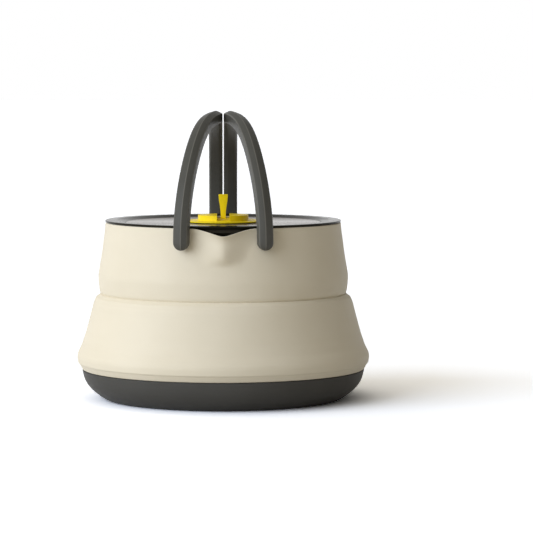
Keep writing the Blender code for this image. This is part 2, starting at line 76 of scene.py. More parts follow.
# Silicone wall, as shares of the way from one driving point to the next: (radius share, height share)
BULGE_DROP = 0.0294
UPPER_SHARES = ((0.0, 0.0), (0.09, 0.12), (0.28, 0.32), (0.47, 0.52), (0.69, 0.71), (0.86, 0.85),
                (0.96, 0.93), (1.0, 1.0))
WAIST_SHARES = ((0.0, 0.0), (0.07, 0.20), (0.28, 0.44), (0.56, 0.66), (0.84, 0.80), (1.20, 0.90),
                (1.65, 0.96))
SHOULDER_SHARES = ((0.015, 0.008), (0.06, 0.024), (0.11, 0.037), (0.165, 0.052), (0.20, 0.075),
                   (0.235, 0.10), (0.255, 0.12), (0.28, 0.145), (0.306, 0.177), (0.327, 0.209),
                   (0.347, 0.241), (0.39, 0.30), (0.48, 0.424), (0.595, 0.573), (0.65, 0.645),
                   (0.72, 0.717), (0.81, 0.81), (0.93, 0.902), (0.985, 0.954), (1.0, 1.0))
TUCK_SHARES = ((0.0, 0.0), (0.03, 0.16), (0.09, 0.34))
GROOVE_INSET = 0.0008
GROOVE_DEPTH = 0.0008
TUCK_HEIGHT = 0.0066
HEM_SHARES = ((0.15, 0.455), (0.42, 0.58), (1.0, 1.0))
HEM_FILLETS = (0.0003, 0.0005, 0.0004)
RIM_FILLET = 0.0005

# Spout pulled out of the upper wall: its half width narrows to a share of itself at its foot
SPOUT_REACH = 0.0080
SPOUT_HALF_WIDTH = 0.0165
SPOUT_HEIGHT = 0.0200
SPOUT_DIP = 0.0037
SPOUT_DIP_HEIGHT = 0.0110
SPOUT_TIP_ROUND_SHARE = 0.10
SPOUT_RIDGE_ROUND_SHARE = 0.22
SPOUT_FLANK_SHARE = 1.70
SPOUT_CROWDING_SHARE = 0.60
SPOUT_FOOT_SHARE = 0.55
# Reach of the spout from its lip down, as (reach share, height share)
SPOUT_RISE_SHARES = ((1.0, 1.0), (0.74, 0.86), (0.63, 0.72), (0.60, 0.55), (0.57, 0.38), (0.46, 0.24),
                     (0.22, 0.11), (0.05, 0.03), (0.0, 0.0))

# Base pan
PAN_SHARES = ((0.0, 0.0), (0.01, 0.06), (0.03, 0.14), (0.07, 0.27), (0.14, 0.41), (0.24, 0.54),
              (0.38, 0.67), (0.56, 0.80), (0.74, 0.91), (0.88, 0.975), (1.0, 1.0))
PAN_WALL = 0.0015
PAN_ROUNDING = 0.0143
PAN_EDGE_FILLET = 0.0004

# Handles
HANDLE_SPACING = 0.0006
HANDLE_WIDTH = 0.0077
HANDLE_FLARE = 0.0003
HANDLE_DEPTH = 0.0068
SPREAD_BLEND = 0.0100
SPREAD_BOW = 0.0109
BOW_TURN_SHARE = 0.55
BOW_START_SHARE = 0.08
FRONT_END_RADIUS = 0.0042
ARCH_STATIONS = 128
END_STATIONS = 12
END_TIP_STEPS = 0.4
# Corners of the section: (sideways share, outwards share, fillet, how strong the painted highlight along the
# corner is)
SECTION_CORNERS = ((-0.50, -0.47, 0.0004, 0.6), (-0.23, -0.50, 0.0015, 0.1), (0.50, -0.37, 0.0018, 0.0),
                   (0.50, 0.30, 0.0021, 0.0), (-0.09, 0.50, 0.0011, 0.4), (-0.50, 0.29, 0.0009, 0.3))

# Lid
LID_FLANGE = 0.0010
LID_FLANGE_WIDTH = 0.0053
LID_DISH_SLOPE = 0.0056
LID_EDGE_FILLET = 0.00030
LID_FOOT_FILLET = 0.00050
LID_LIP_FILLET = 0.0006
PLUG_CLEARANCE = 0.0010
PLUG_DEPTH = 0.0037
PLUG_WALL = 0.0016
GASKET_HEIGHT = 0.0014
GASKET_GROOVE_DEPTH = 0.0010
LEDGE_WIDTH = 0.0016
LEDGE_THICKNESS = 0.0010
WINDOW_BEAD = 0.0005
WINDOW_BEAD_HEIGHT = 0.00018
WINDOW_BEAD_FILLET = 0.00036

# Lid knob with its tab
KNOB_FLANGE = 0.0007
BOSS_RADIUS = 0.0138
SLOT_WIDTH = 0.0068
SLOT_SILL = 0.0002
KNOB_BEVEL = 0.00022
FLANGE_EDGE_FILLET = 0.00025
STEM_RADIUS = 0.0023
TAB_SHARES = ((-0.089, 0.58), (0.05, 0.56), (0.15, 0.565), (0.24, 0.585), (0.32, 0.63), (0.40, 0.68),
              (0.55, 0.77), (0.62, 0.84), (0.70, 0.91), (0.80, 0.965), (0.88, 1.0), (1.0, 1.0))
TAB_BEVEL = 0.00035
CUT_OVERRUN = 0.0010

# Holes of the pivots and of the tab's pin, and the ring inside the rim
RING_WALL = 0.0013
BUSH_HOLE_RADIUS = 0.00275
BUSH_HOLE_REACH = 0.0050
PIN_HOLE_RADIUS = 0.00135
TAB_PIN_CLEARANCE = 0.0001

# Facets and smoothing
ROUND_STEPS = 192
WALL_STEPS = 320
HOLE_STEPS = 48
FILLET_STEPS = 5
SPAN_STEPS = 5
BEVEL_STEPS = 3
SMOOTH_ANGLE = 35

# Light: a wide low key from the left, and a sky that goes from bright on the left to dim on the right
KEY_TURN = -55
KEY_RISE = 18
KEY_ANGLE = 60
KEY_STRENGTH = 2.00
KEY_COLOUR = (0.88, 0.985, 1.16)
SKY_AXIS = (-1.0, 0.0, 0.05)
SKY_COLOUR = (1.09, 1.0, 0.84)
SKY_DIM = 0.04
SKY_BRIGHT = 0.98

# What is seen of the room: white at the horizon, and dimmer from one height of the view to another
CEILING_SEEN = 0.30
CEILING_START = 0.12
CEILING_END = 0.50
FLOOR_COLOUR = (0.66, 0.64, 0.60)
FLOOR_SEEN = (1.50, 1.57, 1.72)
FLOOR_SIZE = 12.0


def between(start, end, shares):
    """Points from start to end, both (radius, height)."""
    return [(start[0] + (end[0] - start[0]) * radial, start[1] + (end[1] - start[1]) * vertical)
            for radial, vertical in shares]


def smooth(points):
    """A line through all the points, turning gently at each."""
    line = [Vector(point) for point in points]
    lengths = [(after - before).length for before, after in zip(line, line[1:])]
    slopes = [(after - before) / length for before, after, length in zip(line, line[1:], lengths)]
    tangents = [slopes[0]]
    for before, after, near, far in zip(slopes, slopes[1:], lengths, lengths[1:]):
        tangents.append((before * far + after * near) / (near + far))
    tangents.append(slopes[-1])
    made = [tuple(line[0])]
    for index, length in enumerate(lengths):
        for step in range(1, SPAN_STEPS + 1):
            t = step / SPAN_STEPS
            point = line[index] * (2 * t ** 3 - 3 * t ** 2 + 1)
            point += tangents[index] * length * (t ** 3 - 2 * t ** 2 + t)
            point += line[index + 1] * (3 * t ** 2 - 2 * t ** 3)
            point += tangents[index + 1] * length * (t ** 3 - t ** 2)
            made.append(tuple(point))
    return made


def rounded(corners):
    """A closed outline of (across, up, fillet) corners, each with its fillet turned into an arc."""
    line = []
    for index, (across, up, fillet) in enumerate(corners):
        corner = Vector((across, up))
        if not fillet:
            line.append((across, up))
            continue
        back = (Vector(corners[index - 1][:2]) - corner).normalized()
        ahead = (Vector(corners[(index + 1) % len(corners)][:2]) - corner).normalized()
        half = back.angle(ahead) / 2
        centre = corner + (back + ahead).normalized() * fillet / math.sin(half)
        first = corner + back * fillet / math.tan(half) - centre
        turn = math.copysign(math.pi - 2 * half, back.x * ahead.y - back.y * ahead.x)
        start = math.atan2(first.y, first.x)
        for step in range(FILLET_STEPS + 1):
            angle = start - turn * step / FILLET_STEPS
            line.append((centre.x + fillet * math.cos(angle), centre.y + fillet * math.sin(angle)))
    return line


def object_from(name, shape):
    """An object in the scene from a bmesh, which is freed."""
    bmesh.ops.recalc_face_normals(shape, faces=shape.faces)
    mesh = bpy.data.meshes.new(name)
    shape.to_mesh(mesh)
    shape.free()
    made = bpy.data.objects.new(name, mesh)
    bpy.context.scene.collection.objects.link(made)
    return made


def add_piece(name, shape, body, finish):
    """A finished piece from a bmesh, shaded smooth. It rides on a body where one is given."""
    piece = object_from(name, shape)
    piece.data.materials.append(finish)
    soften(piece)
    if body:
        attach(piece, body)
    return piece


def soften(piece):
    piece.data.shade_smooth()
    piece.data.set_sharp_from_angle(angle=math.radians(SMOOTH_ANGLE))


def turned(outline, steps=ROUND_STEPS):
    """A closed outline of (radius, height) turned about Z into a bmesh."""
    shape = bmesh.new()
    rings = []
    for radius, height in outline:
        if radius < MERGE_DISTANCE:
            rings.append([shape.verts.new((0, 0, height))])
            continue
        ring = []
        for step in range(steps):
            turn = 2 * math.pi * step / steps
            ring.append(shape.verts.new((radius * math.sin(turn), -radius * math.cos(turn), height)))
        rings.append(ring)
    for index, low in enumerate(rings):
        high = rings[(index + 1) % len(rings)]
        if len(low) == 1 and len(high) == 1:
            continue
        for step in range(steps):
            following = (step + 1) % steps
            corners = [low[step % len(low)], low[following % len(low)],
                       high[following % len(high)], high[step % len(high)]]
            shape.faces.new(list(dict.fromkeys(corners)))
    return shape


def apply_modifiers(piece):
    """Leave the piece as its modifiers shape it, with none left on it."""
    bpy.context.view_layer.update()
    graph = bpy.context.evaluated_depsgraph_get()
    mesh = bpy.data.meshes.new_from_object(piece.evaluated_get(graph))
    piece.modifiers.clear()
    piece.data = mesh
    soften(piece)


def cut(piece, cutter):
    """Take a cutter's shape out of a piece and remove the cutter."""
    step = piece.modifiers.new("Cut", "BOOLEAN")
    step.operation = "DIFFERENCE"
    step.object = cutter
    apply_modifiers(piece)
    bpy.data.objects.remove(cutter)


def bevel(piece, width):
    step = piece.modifiers.new("Edges", "BEVEL")
    step.width = width
    step.segments = BEVEL_STEPS
    step.limit_method = "ANGLE"
    step.angle_limit = math.radians(SMOOTH_ANGLE)
    apply_modifiers(piece)


def box_cutter(low, high):
    shape = bmesh.new()
    middle = (Vector(low) + Vector(high)) / 2
    span = Vector(high) - Vector(low)
    bmesh.ops.create_cube(shape, size=1, matrix=Matrix.Translation(middle) @ Matrix.Diagonal((*span, 1)))
    return object_from("cutter", shape)


def rod_cutter(start, end, radius):
    shape = bmesh.new()
    along = Vector(end) - Vector(start)
    turn = along.to_track_quat("Z", "Y").to_matrix().to_4x4()
    place = Matrix.Translation((Vector(start) + Vector(end)) / 2) @ turn
    bmesh.ops.create_cone(shape, cap_ends=True, segments=HOLE_STEPS, radius1=radius, radius2=radius,
                          depth=along.length, matrix=place)
    return object_from("cutter", shape)


def fill(tree, socket, value):
    """Give a colour socket a plain colour, or the colour of another socket."""
    if isinstance(value, tuple):
        socket.default_value = (*value, 1)
    else:
        tree.links.new(value, socket)


class Finish:
    """A material under construction: its shader, and short calls that add texture nodes to it."""

    def __init__(self, name, roughness, metallic=0.0, specular=0.5, sheen=0.0):
        self.material = bpy.data.materials.new(name)
        self.material.use_nodes = True
        self.tree = self.material.node_tree
        self.shader = self.tree.nodes["Principled BSDF"]
        self.shader.inputs["Roughness"].default_value = roughness
        self.shader.inputs["Metallic"].default_value = metallic
        self.shader.inputs["Specular IOR Level"].default_value = specular
        self.shader.inputs["Sheen Weight"].default_value = sheen
        self.place = self.add("ShaderNodeTexCoord").outputs["Object"]
        self.bumped = None

    def add(self, kind, **settings):
        node = self.tree.nodes.new(kind)
        for name, value in settings.items():
            setattr(node, name, value)
        return node

    def link(self, source, target):
        self.tree.links.new(source, target)

    def noise(self, scale, detail=3.0, stretch=(1, 1, 1), roughness=0.5):
        mapping = self.add("ShaderNodeMapping")
        mapping.inputs["Scale"].default_value = stretch
        self.link(self.place, mapping.inputs["Vector"])
        node = self.add("ShaderNodeTexNoise")
        node.inputs["Scale"].default_value = scale
        node.inputs["Detail"].default_value = detail
        node.inputs["Roughness"].default_value = roughness
        self.link(mapping.outputs["Vector"], node.inputs["Vector"])
        return node.outputs["Fac"]

    def spread(self, source, low, high, start=0.3, end=0.7):
        """A number from a texture, spread between low and high."""
        node = self.add("ShaderNodeMapRange")
        node.inputs["From Min"].default_value = start
        node.inputs["From Max"].default_value = end
        node.inputs["To Min"].default_value = low
        node.inputs["To Max"].default_value = high
        self.link(source, node.inputs["Value"])
        return node.outputs["Result"]

    def blend(self, share, first, second):
        """A colour between two, where each is a colour or a socket."""
        node = self.add("ShaderNodeMix", data_type="RGBA")
        self.link(share, node.inputs["Factor"])
        fill(self.tree, node.inputs[6], first)
        fill(self.tree, node.inputs[7], second)
        return node.outputs[2]

    def colour(self, source):
        self.link(source, self.shader.inputs["Base Color"])

    def rough(self, source, low, high):
        self.link(self.spread(source, low, high), self.shader.inputs["Roughness"])

    def bump(self, source, height, strength=1.0):
        node = self.add("ShaderNodeBump")
        node.inputs["Strength"].default_value = strength
        node.inputs["Distance"].default_value = height
        self.link(source, node.inputs["Height"])
        if self.bumped:
            self.link(self.bumped, node.inputs["Normal"])
        self.bumped = node.outputs["Normal"]
        self.link(self.bumped, self.shader.inputs["Normal"])


def silicone_finish():
    """Matte bone-coloured silicone: a powdery skin, faint flow marks and a few darker specks of dust."""
    made = Finish("silicone", 0.52, specular=0.28, sheen=0.10)
    cloud = made.spread(made.noise(28, detail=3), 0, 1)
    grain = made.noise(5200, detail=2)
    specks = made.noise(1900, detail=1)
    tone = made.blend(cloud, (0.725, 0.668, 0.535), (0.755, 0.700, 0.570))
    dust = made.spread(specks, 0, 0.30, start=0.72, end=0.80)
    made.colour(made.blend(dust, tone, (0.60, 0.54, 0.43)))
    made.rough(made.noise(260, detail=2), 0.50, 0.60)
    made.bump(grain, height=0.00003, strength=0.5)
    made.bump(made.noise(140, detail=2), height=0.00010, strength=0.2)
    return made.material


def anodised_finish():
    """Hard-anodised metal: dark grey, faintly speckled, with fine turning lines round its axis."""
    made = Finish("anodised", 0.50, specular=0.03)
    speckle = made.noise(3800, detail=2)
    cloud = made.spread(made.noise(45, detail=3), 0, 1)
    tone = made.blend(cloud, (0.079, 0.078, 0.074), (0.089, 0.088, 0.084))
    made.colour(made.blend(made.spread(speckle, 0, 0.5), tone, (0.066, 0.065, 0.061)))
    made.rough(made.noise(420, detail=2), 0.46, 0.55)
    split = made.add("ShaderNodeSeparateXYZ")
    made.link(made.place, split.inputs["Vector"])
    x_squared = made.add("ShaderNodeMath", operation="POWER")
    x_squared.inputs[1].default_value = 2
    made.link(split.outputs["X"], x_squared.inputs[0])
    squares = made.add("ShaderNodeMath", operation="MULTIPLY_ADD")
    made.link(split.outputs["Y"], squares.inputs[0])
    made.link(split.outputs["Y"], squares.inputs[1])
    made.link(x_squared.outputs[0], squares.inputs[2])
    radius = made.add("ShaderNodeMath", operation="SQRT")
    made.link(squares.outputs[0], radius.inputs[0])
    ring_place = made.add("ShaderNodeCombineXYZ")
    made.link(radius.outputs[0], ring_place.inputs["X"])
    made.link(split.outputs["Z"], ring_place.inputs["Y"])
    rings = made.add("ShaderNodeTexNoise")
    rings.inputs["Scale"].default_value = 3000
    rings.inputs["Detail"].default_value = 2
    made.link(ring_place.outputs[0], rings.inputs["Vector"])
    made.bump(rings.outputs["Fac"], height=0.00002, strength=0.35)
    made.bump(speckle, height=0.00002, strength=0.5)
    return made.material


def grip_finish():
    """Dark grey moulded nylon with a fine spark-eroded grain, and a painted highlight of lighter grey along the
    corners and ridge of its section.
    """
    made = Finish("grip", 0.42, specular=0.16)
    grain = made.noise(4200, detail=3, roughness=0.6)
    cloud = made.spread(made.noise(60, detail=3), 0, 1)
    tone = made.blend(cloud, (0.078, 0.077, 0.068), (0.090, 0.089, 0.079))
    tone = made.blend(made.spread(grain, 0, 0.4), tone, (0.060, 0.060, 0.054))
    # Painted highlight: a lighter grey laid along the section's corners and ridge, where light catches the edges
    # of the arch
    painted_highlight = made.add("ShaderNodeAttribute", attribute_name="painted_highlight").outputs["Fac"]
    made.colour(made.blend(made.spread(painted_highlight, 0, 0.8, start=0, end=1), tone, (0.30, 0.29, 0.26)))
    made.rough(made.noise(700, detail=2), 0.36, 0.46)
    made.bump(grain, height=0.00003, strength=0.5)
    return made.material


def lid_finish():
    """Near-black satin moulding of the lid."""
    made = Finish("lid", 0.16, specular=0.04)
    grain = made.noise(3600, detail=2)
    cloud = made.spread(made.noise(70, detail=3), 0, 1)
    made.colour(made.blend(cloud, (0.015, 0.014, 0.009), (0.022, 0.020, 0.013)))
    made.rough(made.noise(500, detail=2), 0.13, 0.19)
    made.bump(grain, height=0.000006, strength=0.4)
    return made.material


def window_finish():
    """Satin smoke-grey plastic with faint flow lines and fine scuffs."""
    made = Finish("window", 0.18, specular=0.50)
    flow = made.spread(made.noise(36, detail=3, stretch=(1, 2.5, 1)), 0, 1)
    made.colour(made.blend(flow, (0.165, 0.140, 0.125), (0.185, 0.157, 0.140)))
    made.rough(made.noise(900, detail=2, stretch=(1, 6, 1)), 0.15, 0.21)
    made.bump(made.noise(90, detail=2), height=0.000008, strength=0.2)
    return made.material


def yellow_finish():
    """Yellow moulded plastic, satin, with a fine grain and slightly deeper colour in patches."""
    made = Finish("yellow", 0.38, specular=0.08)
    grain = made.noise(4000, detail=2)
    cloud = made.spread(made.noise(110, detail=3), 0, 1)
    tone = made.blend(cloud, (0.880, 0.680, 0.010), (0.920, 0.720, 0.014))
    made.colour(made.blend(made.spread(grain, 0, 0.25), tone, (0.80, 0.59, 0.008)))
    made.rough(made.noise(600, detail=2), 0.34, 0.43)
    made.bump(grain, height=0.00002, strength=0.4)
    return made.material


def steel_finish():
    """Turned steel, with fine lines round the pins."""
    made = Finish("steel", 0.28, metallic=1.0)
    lines = made.noise(900, detail=2, stretch=(1, 8, 1))
    made.colour(made.blend(made.spread(lines, 0, 1), (0.52, 0.52, 0.51), (0.64, 0.64, 0.63)))
    made.rough(lines, 0.22, 0.36)
    made.bump(lines, height=0.00001, strength=0.4)
    return made.material


def dark_finish(name, dark, light, roughness):
    """Black nylon or black seal rubber, slightly warm, with a fine grain."""
    made = Finish(name, roughness, specular=0.2)
    grain = made.noise(3200, detail=3)
    made.colour(made.blend(made.spread(grain, 0, 1), dark, light))
    made.rough(made.noise(500, detail=2), roughness - 0.06, roughness + 0.06)
    made.bump(grain, height=0.00003, strength=0.5)
    return made.material


def wall_outline():
    """The silicone wall in section: down its outside, round its tongue and up its inside."""
    upper_low, upper_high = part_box("wall_upper")
    ring_low, ring_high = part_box("rim_ring")
    bed = ring_high.x + GAP
    rim = (bed + RIM_WALL, upper_high.z)
    bulge = (upper_high.x, upper_high.z - BULGE_DROP)
    groove = (bulge[0] - GROOVE_INSET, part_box("wall_fold")[1].z)
    pan_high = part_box("base_pan")[1]
    seam = (pan_high.x, pan_high.z + GAP)
    widest = (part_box("wall_lower")[1].x, seam[1] + TUCK_HEIGHT)
    above = smooth(between(rim, bulge, UPPER_SHARES) + between(bulge, groove, WAIST_SHARES)[1:])
    below = smooth(between(groove, widest, SHOULDER_SHARES) + between(widest, seam, TUCK_SHARES)[1:])
    outer = above + [(groove[0] - GROOVE_DEPTH, groove[1])] + below
    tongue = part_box("base_ring")[1].x + GAP + TONGUE_WALL
    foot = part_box("wall_lower")[0].z
    hem = [(*point, fillet) for point, fillet in zip(between(widest, seam, HEM_SHARES), HEM_FILLETS)]
    outer += rounded([(*below[-1], 0)] + hem + [(tongue, seam[1], 0)])[1:-1]
    outer += [(tongue, seam[1]), (tongue, foot), (tongue - TONGUE_WALL, foot)]
    ring_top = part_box("base_ring")[1].z + GAP
    ring_foot = ring_low.z - GAP
    inner = [(radius - WALL, height) for radius, height in reversed(above + below)
             if ring_top + WALL < height < ring_foot - GAP]
    outer += [(tongue - TONGUE_WALL, ring_top)] + inner + [(bed, ring_foot)]
    lip = [(bed, ring_foot, 0), (bed, rim[1], RIM_FILLET), (*rim, RIM_FILLET), (*above[1], 0)]
    return outer[1:] + rounded(lip)[1:-1]


def radius_at(outline, height):
    """Radius of an outline, given top to bottom, at a height."""
    for (high_radius, high), (low_radius, low) in zip(outline, outline[1:]):
        if low <= height <= high:
            return low_radius + (high_radius - low_radius) * (height - low) / (high - low)
    return outline[-1][0]


def spout_share(across, round_share):
    """How far the spout pulls a point of the wall, from 1 at its middle to 0 where its flanks end."""
    side = max(0, 1 - math.hypot(across, round_share) + round_share)
    return side * side * (SPOUT_FLANK_SHARE - (SPOUT_FLANK_SHARE - 1) * side)


def pull_spout(shape, rim_height):
    """Crowd the wall's columns towards -Y, then pull the beak out of it and dip its lip."""
    rise = smooth(SPOUT_RISE_SHARES)
    for vertex in shape.verts:
        x, y, z = vertex.co
        radius = math.hypot(x, y)
        turn = math.atan2(x, -y)
        turn -= SPOUT_CROWDING_SHARE * math.sin(turn)
        x = radius * math.sin(turn)
        y = -radius * math.cos(turn)
        if y < 0:
            up = min(1, max(0, 1 - (rim_height - z) / SPOUT_HEIGHT))
            half_width = SPOUT_HALF_WIDTH * (SPOUT_FOOT_SHARE + (1 - SPOUT_FOOT_SHARE) * up)
            drop = max(0, 1 - (rim_height - z) / SPOUT_DIP_HEIGHT)
            out = spout_share(x / half_width, SPOUT_RIDGE_ROUND_SHARE) * radius_at(rise, up)
            y *= 1 + SPOUT_REACH * out / radius
            z -= SPOUT_DIP * spout_share(x / half_width, SPOUT_TIP_ROUND_SHARE) * drop
        vertex.co = (x, y, z)


def make_wall(finish):
    rim_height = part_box("wall_upper")[1].z
    shape = turned(wall_outline(), WALL_STEPS)
    pull_spout(shape, rim_height)
    wall = add_piece("silicone_wall", shape, None, finish)
    for place in ("front_left", "front_right", "rear_left", "rear_right"):
        low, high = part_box("pivot_bush_" + place)
        middle = (low + high) / 2
        reach = hinge_line(place.split("_")[1]) * BUSH_HOLE_REACH
        cut(wall, rod_cutter(middle - reach, middle + reach, BUSH_HOLE_RADIUS))
    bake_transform(wall)
    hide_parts("wall_lower", "wall_fold", "wall_upper")


def make_pan(finish):
    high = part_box("base_pan")[1]
    flat = high.x - PAN_ROUNDING
    outer = smooth(between((high.x, high.z), (flat, 0), PAN_SHARES))
    inner = [(radius - PAN_WALL, max(height + PAN_WALL * (1 - height / high.z), PAN_WALL))
             for radius, height in outer]
    edge = rounded([(*outer[2], 0), (high.x, high.z, PAN_EDGE_FILLET),
                    (high.x - PAN_WALL, high.z, PAN_EDGE_FILLET), (*inner[2], 0)])[1:-1]
    outline = outer[2:] + [(0, 0), (0, PAN_WALL)] + inner[:1:-1] + edge[::-1]
    pan = add_piece("pan", turned(outline), "base", finish)
    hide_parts("base_pan")


def joint_named(name):
    return next(joint for joint in frame["joints"] if joint["name"] == name)


def hinge_line(side):
    """Unit vector from the front pivot of an arch towards its rear pivot."""
    axis = Vector(joint_named(side + "_handle_fold")["axis"])
    return axis if axis.y > 0 else -axis


def make_handle(side, finish):
    """One arch, lofted from its front pivot over to the rear one."""
    sign = {"left": -1, "right": 1}[side]
    joint = joint_named(side + "_handle_fold")
    front = Vector(joint["pos_m"])
    front_x = abs(front.x)
    rear_x = (HANDLE_SPACING + HANDLE_WIDTH) / 2
    rear_y = front.y + (front_x - rear_x) * abs(joint["axis"][1] / joint["axis"][0])
    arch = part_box("handle_" + side)[1].z - front.z - HANDLE_DEPTH / 2
    middle_y = (front.y + rear_y) / 2
    half_length = (rear_y - front.y) / 2
    slope = (front_x - rear_x) / -front.y

    def station(angle):
        y = middle_y - half_length * math.cos(angle)
        into = min(1, max(0, (SPREAD_BLEND - y) / (2 * SPREAD_BLEND)))
        drift = slope * into ** 2 * SPREAD_BLEND if y > -SPREAD_BLEND else -y * slope
        share = max(0, y / front.y)
        near = share * share / (share + BOW_START_SHARE)
        drift += SPREAD_BOW * near * (1 - share) * (BOW_TURN_SHARE - share)
        centre = Vector((rear_x + drift, y, front.z + arch * math.sin(angle)))
        heading = Vector((-slope * into, 1, 0)).normalized()
        sideways = Vector((heading.y, -heading.x, 0))
        outwards = -heading * math.cos(angle) * arch + Vector((0, 0, 1)) * math.sin(angle) * half_length
        width = HANDLE_WIDTH + HANDLE_FLARE * max(0, math.cos(angle))
        return centre, sideways, outwards.normalized(), width

    def end(angle, radius):
        centre, sideways, outwards, width = station(angle)
        for step in range(1, END_STATIONS + 1):
            turn = math.pi / 2 * step / (END_STATIONS + END_TIP_STEPS)
            down = Vector((0, 0, -radius * math.sin(turn)))
            yield centre + down, sideways, outwards, width, math.cos(turn)

    stations = list(end(0, FRONT_END_RADIUS))[::-1]
    stations += [(*station(math.pi * index / ARCH_STATIONS), 1) for index in range(ARCH_STATIONS + 1)]
    stations += list(end(math.pi, HANDLE_WIDTH / 2))
    shape = bmesh.new()
    # Weight of the painted highlight at each point, strongest along the corners and the ridge
    highlight_layer = shape.verts.layers.float.new("painted_highlight")
    rings = []
    for centre, sideways, outwards, width, share in stations:
        ring = []
        for (across, out), painted_highlight in zip(handle_section(width), section_painted_highlight()):
            point = centre + sideways * across * share + outwards * out * share
            point.x *= sign
            ring.append(shape.verts.new(point))
            ring[-1][highlight_layer] = painted_highlight
        rings.append(ring)
    for low, high in zip(rings, rings[1:]):
        for index in range(len(low)):
            following = (index + 1) % len(low)
            shape.faces.new((low[index], low[following], high[following], high[index]))
    shape.faces.new(rings[0])
    shape.faces.new(rings[-1])
    handle = add_piece(side + "_arch_grip", shape, None, finish)
    for place in ("front_", "rear_"):
        low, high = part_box("pivot_pin_" + place + side)
        pin = (low + high) / 2
        inwards = hinge_line(side) if place == "front_" else -hinge_line(side)
        reach = inwards * ((high.y - low.y) / 2 / abs(inwards.y))
        cut(handle, rod_cutter(pin - reach - inwards * GAP, pin + reach, PIN_HOLE_RADIUS))
    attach(handle, side + "_arch")
    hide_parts("handle_" + side)


def handle_section(width):
    """Outline of (sideways, outwards): a low ridge on both faces, and flat where the arches face."""
    return rounded([(across * width, out * HANDLE_DEPTH, fillet)
                    for across, out, fillet, _ in SECTION_CORNERS])


def section_painted_highlight():
    """How much painted highlight each point of the outline gets: most in the middle of a corner's arc."""
    return [painted_highlight * min(1, step / 2, (FILLET_STEPS - step) / 2)
            for *_, painted_highlight in SECTION_CORNERS for step in range(FILLET_STEPS + 1)]


def make_lid(frame_look, window_look):
    """The lid's frame, a turned dish with its plug, and the flat disc that closes it."""
    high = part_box("lid_frame")[1]
    window_low, window_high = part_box("lid_window")
    top = high.z
    bottom = top - LID_FLANGE
    dish_top = high.x - LID_FLANGE_WIDTH
    dish_foot = dish_top - LID_DISH_SLOPE
    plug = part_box("rim_ring")[1].x - RING_WALL - PLUG_CLEARANCE
    plug_foot = bottom - PLUG_DEPTH
    slot_top = bottom - GASKET_GROOVE_DEPTH
    slot_foot = slot_top - GASKET_HEIGHT - 2 * GAP
    slot_radius = plug - GASKET_GROOVE_DEPTH
    ledge_top = window_low.z - GAP
    ledge_foot = ledge_top - LEDGE_THICKNESS
    ledge_radius = dish_foot - LEDGE_WIDTH
    plug_inside = plug - PLUG_WALL
    outline = rounded([
        (dish_top, top, LID_LIP_FILLET), (high.x, top, LID_EDGE_FILLET), (high.x, bottom, LID_FOOT_FILLET),
        (plug, bottom, 0), (plug, slot_top, 0), (slot_radius, slot_top, 0), (slot_radius, slot_foot, 0),
        (plug, slot_foot, 0), (plug, plug_foot, LID_EDGE_FILLET),
        (plug_inside, plug_foot, LID_EDGE_FILLET), (plug_inside, ledge_top, 0), (dish_foot, ledge_foot, 0),
        (ledge_radius, ledge_foot, 0), (ledge_radius, ledge_top, 0), (dish_foot, ledge_top, 0),
        (dish_foot, window_high.z, 0)])
    dish = add_piece("lid_dish", turned(outline), "lid", frame_look)
    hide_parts("lid_frame")
    edge = window_high.x
    bore = STEM_RADIUS + GAP
    disc = [(bore, window_high.z), (edge - 2 * WINDOW_BEAD, window_high.z)]
    disc += rounded([(edge - 2 * WINDOW_BEAD, window_high.z, 0),
                     (edge - WINDOW_BEAD, window_high.z + WINDOW_BEAD_HEIGHT, WINDOW_BEAD_FILLET),
                     (edge, window_high.z, 0)])[1:-1]
    disc += [(edge, window_high.z), (edge, window_low.z), (bore, window_low.z)]
    window = add_piece("lid_disc", turned(disc), "lid", window_look)
    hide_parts("lid_window")


def make_knob(finish):
    """The knob's flange, boss and stem, slotted for the tab and bored for its pin."""
    low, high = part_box("knob_base")
    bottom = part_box("lid_window")[1].z + GAP
    flange_top = bottom + KNOB_FLANGE
    outline = [(0, high.z), (BOSS_RADIUS, high.z), (BOSS_RADIUS, flange_top)]
    outline += rounded([(BOSS_RADIUS, flange_top, 0), (high.x, flange_top, FLANGE_EDGE_FILLET),
                        (high.x, bottom, FLANGE_EDGE_FILLET), (STEM_RADIUS, bottom, 0)])[1:]
    outline += [(STEM_RADIUS, low.z), (0, low.z)]
    knob = add_piece("lid_knob", turned(outline, ROUND_STEPS // 2), None, finish)
    sill = flange_top + SLOT_SILL
    cut(knob, box_cutter((-SLOT_WIDTH / 2, -BOSS_RADIUS - CUT_OVERRUN, sill),
                         (SLOT_WIDTH / 2, BOSS_RADIUS + CUT_OVERRUN, high.z + CUT_OVERRUN)))
    pin_low, pin_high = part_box("tab_pin")
    pin_height = (pin_low.z + pin_high.z) / 2
    cut(knob, rod_cutter((pin_low.x - GAP, 0, pin_height), (pin_high.x + GAP, 0, pin_height),
                         (pin_high.z - pin_low.z) / 2 + TAB_PIN_CLEARANCE))
    bevel(knob, KNOB_BEVEL)
    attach(knob, "lid")
    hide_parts("knob_base")


